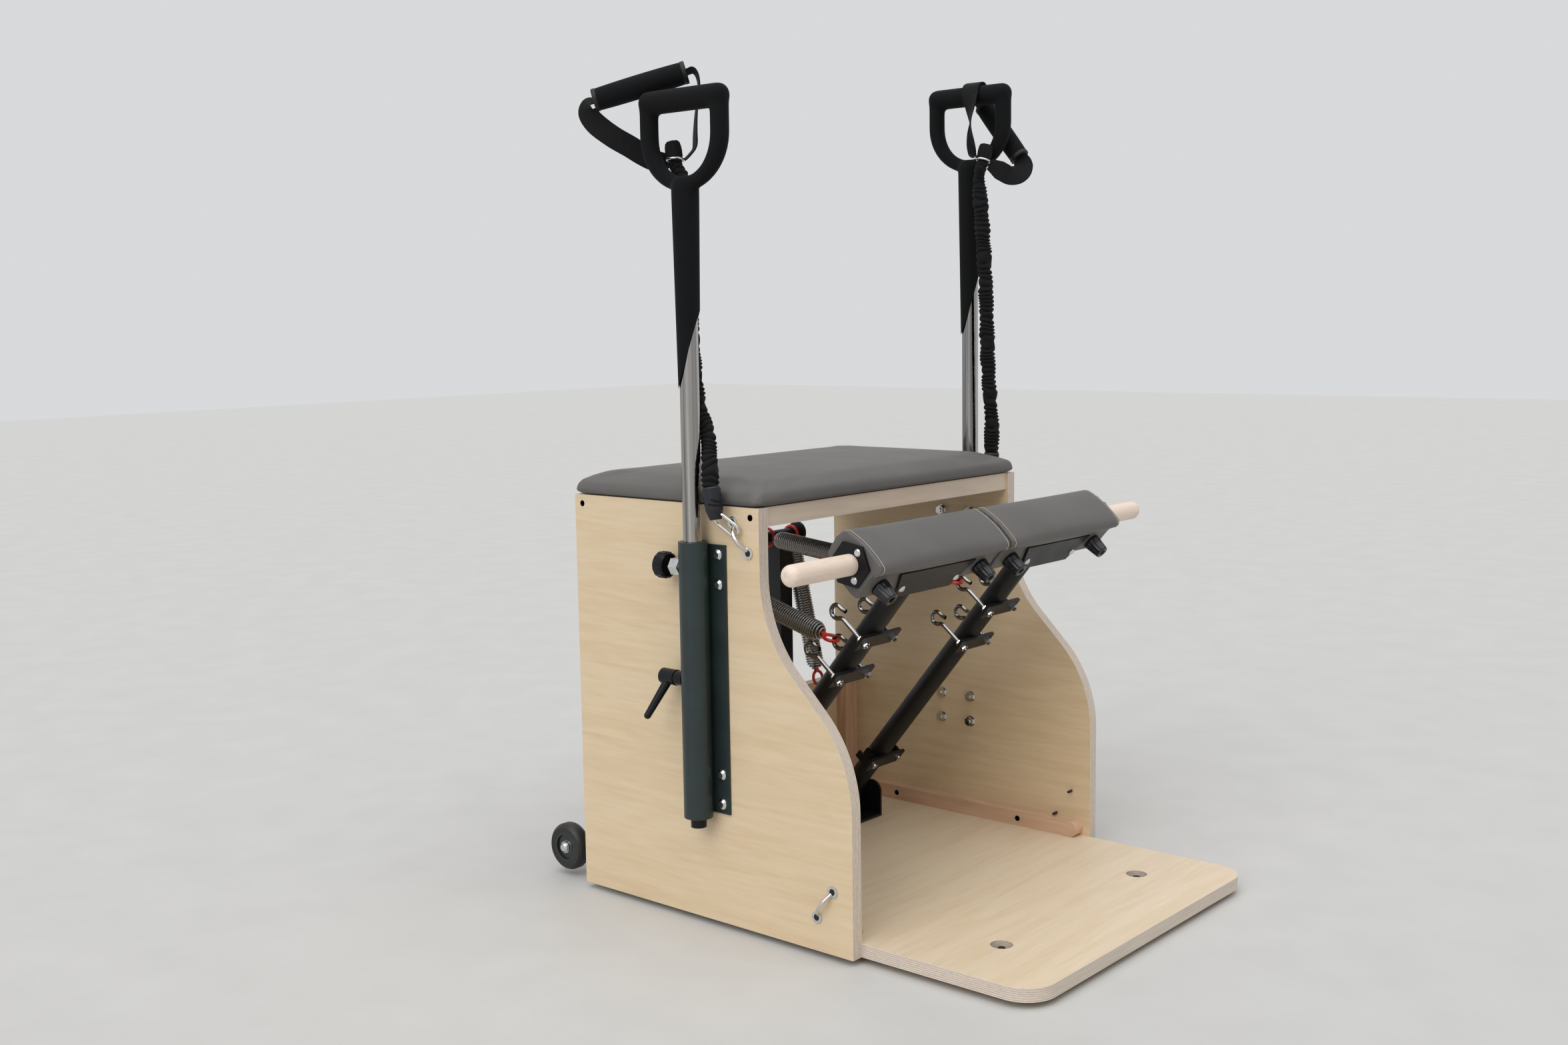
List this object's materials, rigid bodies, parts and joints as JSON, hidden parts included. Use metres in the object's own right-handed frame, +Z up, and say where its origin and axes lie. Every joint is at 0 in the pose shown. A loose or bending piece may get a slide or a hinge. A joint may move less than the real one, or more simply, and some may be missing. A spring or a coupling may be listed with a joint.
{
  "type": "pilates chair",
  "caption": "Wooden pilates chair with a padded seat, sprung split pedals joined by a dowel, side hand poles with D grips and cord handles, and rear transport wheels.",
  "frame": {"origin": "on the floor, under the middle of the chair's footprint", "axes": "+X to the right seen from the front, +Y to the rear, +Z up"},
  "size_m": [0.848, 0.868, 1.2038],
  "materials": {
    "plywood": "clear-lacquered birch plywood",
    "dowel_wood": "sanded beech with a clear matt finish",
    "grey_vinyl": "matt grey upholstery vinyl with stitched edges",
    "black_coat": "satin black powder coat",
    "pole_steel": "drawn stainless tube",
    "bright_steel": "bright zinc-plated steel",
    "spring_steel": "close-wound spring wire, loops in red coating",
    "foam": "black closed-cell foam",
    "black_rubber": "moulded black rubber",
    "black_plastic": "moulded black plastic",
    "webbing": "woven black webbing",
    "cord_sleeve": "gathered black fabric sleeve over elastic cord",
    "wheel_black": "black wheel with a grey hub",
    "black_screw": "black-oxide screws"
  },
  "bodies": {
    "frame": {"left_side_panel": "plywood", "right_side_panel": "plywood", "base_board": "plywood", "rear_panel": "plywood", "wood_rails": "plywood", "seat_cushion": "grey_vinyl", "wood_screws": "black_screw", "left_pole_socket": "black_coat", "right_pole_socket": "black_coat", "socket_bolts": "bright_steel", "socket_necks": "bright_steel", "spring_posts": "black_coat", "pivot_brackets": "black_coat", "axle_bolts": "bright_steel", "pad_eyes": "bright_steel", "wheel_brackets": "bright_steel", "feet": "black_rubber", "left_spring": "spring_steel", "left_spare_spring": "spring_steel", "right_spring": "spring_steel", "right_spare_spring": "spring_steel", "left_cord": "cord_sleeve", "right_cord": "cord_sleeve", "snap_hooks": "bright_steel", "cord_cuffs": "black_rubber"},
    "left_pedal": {"left_pedal_arm": "black_coat", "left_pedal_pad": "grey_vinyl", "left_dowel_flange": "black_plastic", "left_bumpers": "black_rubber", "left_spring_hooks": "bright_steel", "left_fork_clips": "black_plastic", "left_pedal_fasteners": "bright_steel"},
    "left_hand_pole": {"left_pole": "pole_steel", "left_pole_plug": "black_plastic", "left_d_grip": "foam", "left_cord_ring": "bright_steel", "left_hand_grip": "foam", "left_strap": "webbing"},
    "left_pin": {"left_pull_pin": "black_plastic"},
    "left_lever": {"left_clamp_lever": "black_plastic"},
    "left_wheel_body": {"left_wheel": "wheel_black"},
    "left_gate": {"left_clip_gate": "bright_steel"},
    "right_pedal": {"right_pedal_arm": "black_coat", "right_pedal_pad": "grey_vinyl", "right_dowel_flange": "black_plastic", "right_bumpers": "black_rubber", "right_spring_hooks": "bright_steel", "right_fork_clips": "black_plastic", "right_pedal_fasteners": "bright_steel"},
    "right_hand_pole": {"right_pole": "pole_steel", "right_pole_plug": "black_plastic", "right_d_grip": "foam", "right_cord_ring": "bright_steel", "right_hand_grip": "foam", "right_strap": "webbing"},
    "right_pin": {"right_pull_pin": "black_plastic"},
    "right_lever": {"right_clamp_lever": "black_plastic"},
    "right_wheel_body": {"right_wheel": "wheel_black"},
    "right_gate": {"right_clip_gate": "bright_steel"},
    "dowel_bar": {"dowel": "dowel_wood"}
  },
  "joints": [
    {"name": "left_pedal_hinge", "type": "hinge", "parent": "frame", "child": "left_pedal", "pos_m": [-0.15, 0.206, 0.059], "axis": [1, 0, 0], "range_deg": [0, 48.5], "stiffness_Nm_per_rad": 60, "springref_deg": -28.65, "deforming": ["left_spring"]},
    {"name": "left_gate_hinge", "type": "hinge", "parent": "frame", "child": "left_gate", "pos_m": [-0.32307, 0.02863, 0.57896], "axis": [0.9307, 0.2761, 0.24], "range_deg": [0, 10], "stiffness_Nm_per_rad": 0.02, "springref_deg": -17.19},
    {"name": "left_pole_slide", "type": "slide", "parent": "frame", "child": "left_hand_pole", "axis": [0, 0, 1], "range_m": [-0.06, 0.18], "deforming": ["left_cord"]},
    {"name": "left_pin_slide", "type": "slide", "parent": "frame", "child": "left_pin", "axis": [0, 1, 0], "range_m": [0, 0.008], "stiffness_N_per_m": 800, "springref_m": -0.004},
    {"name": "left_lever_hinge", "type": "hinge", "parent": "frame", "child": "left_lever", "pos_m": [-0.328, 0.13, 0.35], "axis": [0, 1, 0], "range_deg": [-30, 135]},
    {"name": "left_wheel_spin", "type": "hinge", "parent": "frame", "child": "left_wheel_body", "pos_m": [-0.279, 0.3985, 0.0445], "axis": [1, 0, 0], "continuous": true},
    {"name": "right_pedal_hinge", "type": "hinge", "parent": "frame", "child": "right_pedal", "pos_m": [0.15, 0.206, 0.059], "axis": [1, 0, 0], "range_deg": [0, 48.5], "stiffness_Nm_per_rad": 60, "springref_deg": -28.65, "deforming": ["right_spring"]},
    {"name": "right_gate_hinge", "type": "hinge", "parent": "frame", "child": "right_gate", "pos_m": [0.32307, 0.02863, 0.57896], "axis": [0.9307, -0.2761, -0.24], "range_deg": [0, 10], "stiffness_Nm_per_rad": 0.02, "springref_deg": -17.19},
    {"name": "right_pole_slide", "type": "slide", "parent": "frame", "child": "right_hand_pole", "axis": [0, 0, 1], "range_m": [-0.12, 0.12], "deforming": ["right_cord"]},
    {"name": "right_pin_slide", "type": "slide", "parent": "frame", "child": "right_pin", "axis": [0, 1, 0], "range_m": [0, 0.008], "stiffness_N_per_m": 800, "springref_m": -0.004},
    {"name": "right_lever_hinge", "type": "hinge", "parent": "frame", "child": "right_lever", "pos_m": [0.328, 0.13, 0.35], "axis": [0, -1, 0], "range_deg": [-30, 135]},
    {"name": "right_wheel_spin", "type": "hinge", "parent": "frame", "child": "right_wheel_body", "pos_m": [0.279, 0.3985, 0.0445], "axis": [1, 0, 0], "continuous": true},
    {"name": "dowel_slide", "type": "slide", "parent": "left_pedal", "child": "dowel_bar", "axis": [1, 0, 0], "range_m": [-0.43, 0.12]}
  ],
  "couplings": [
    {"joint": "right_pedal_hinge", "follows": "left_pedal_hinge", "ratio": 1}
  ]
}
